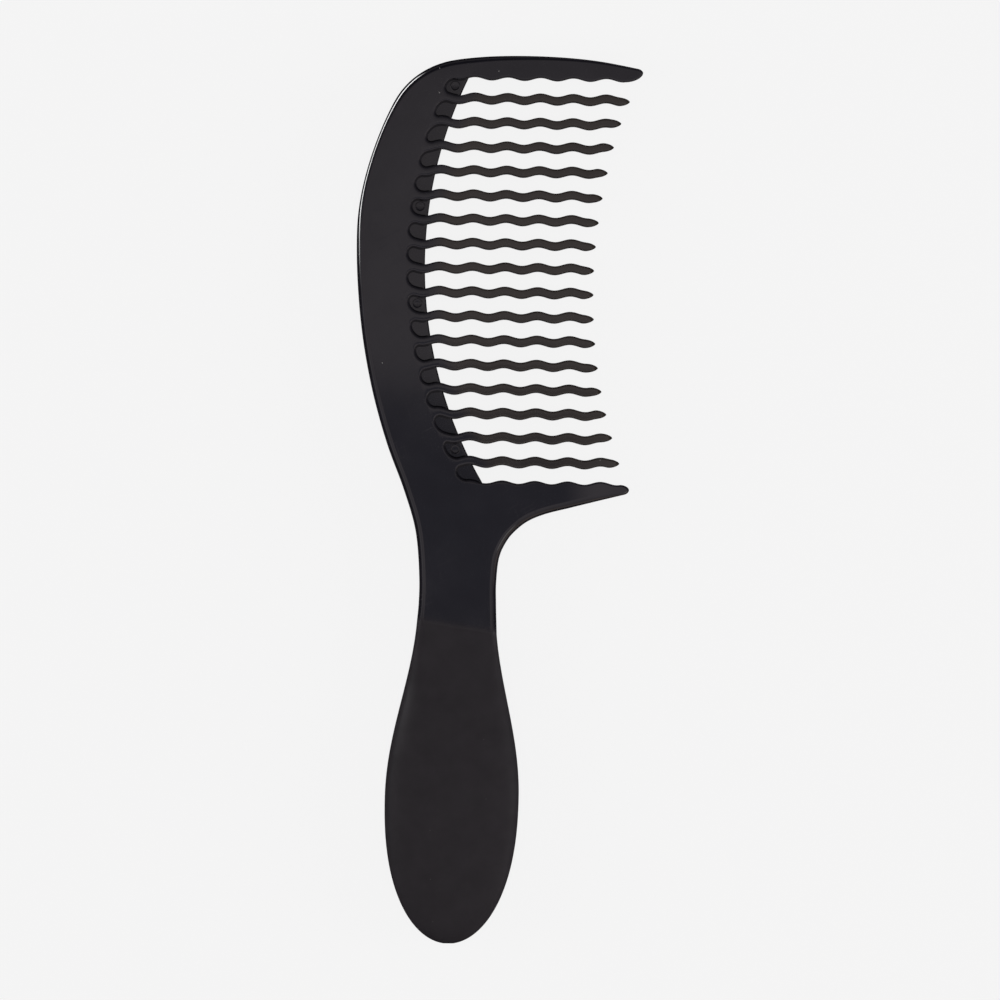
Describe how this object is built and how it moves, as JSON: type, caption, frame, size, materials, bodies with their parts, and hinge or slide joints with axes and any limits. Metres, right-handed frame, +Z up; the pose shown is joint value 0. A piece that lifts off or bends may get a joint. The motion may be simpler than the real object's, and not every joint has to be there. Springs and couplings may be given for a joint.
{
  "type": "wide tooth comb",
  "caption": "Flat wide tooth comb with a curved spine, wavy tapered teeth between two thick guards and a domed paddle handle.",
  "frame": {"origin": "centre of the comb's bounding box, on the surface it lies on", "axes": "+Y along the length from handle to head, +X towards the tooth tips, +Z up through the thickness"},
  "size_m": [0.0722, 0.2262, 0.012],
  "materials": {
    "body_plastic": "semi-gloss moulded black plastic",
    "tooth_plastic": "satin moulded black plastic",
    "grip_plastic": "fine satin black plastic"
  },
  "bodies": {
    "root": {"spine": "body_plastic", "head_guard": "body_plastic", "heel_guard": "body_plastic", "web_plate": "body_plastic", "handle_grip": "grip_plastic", "tooth_01": "tooth_plastic", "tooth_02": "tooth_plastic", "tooth_03": "tooth_plastic", "tooth_04": "tooth_plastic", "tooth_05": "tooth_plastic", "tooth_06": "tooth_plastic", "tooth_07": "tooth_plastic", "tooth_08": "tooth_plastic", "tooth_09": "tooth_plastic", "tooth_10": "tooth_plastic", "tooth_11": "tooth_plastic", "tooth_12": "tooth_plastic", "tooth_13": "tooth_plastic", "tooth_14": "tooth_plastic", "tooth_15": "tooth_plastic", "tooth_16": "tooth_plastic"}
  },
  "joints": []
}
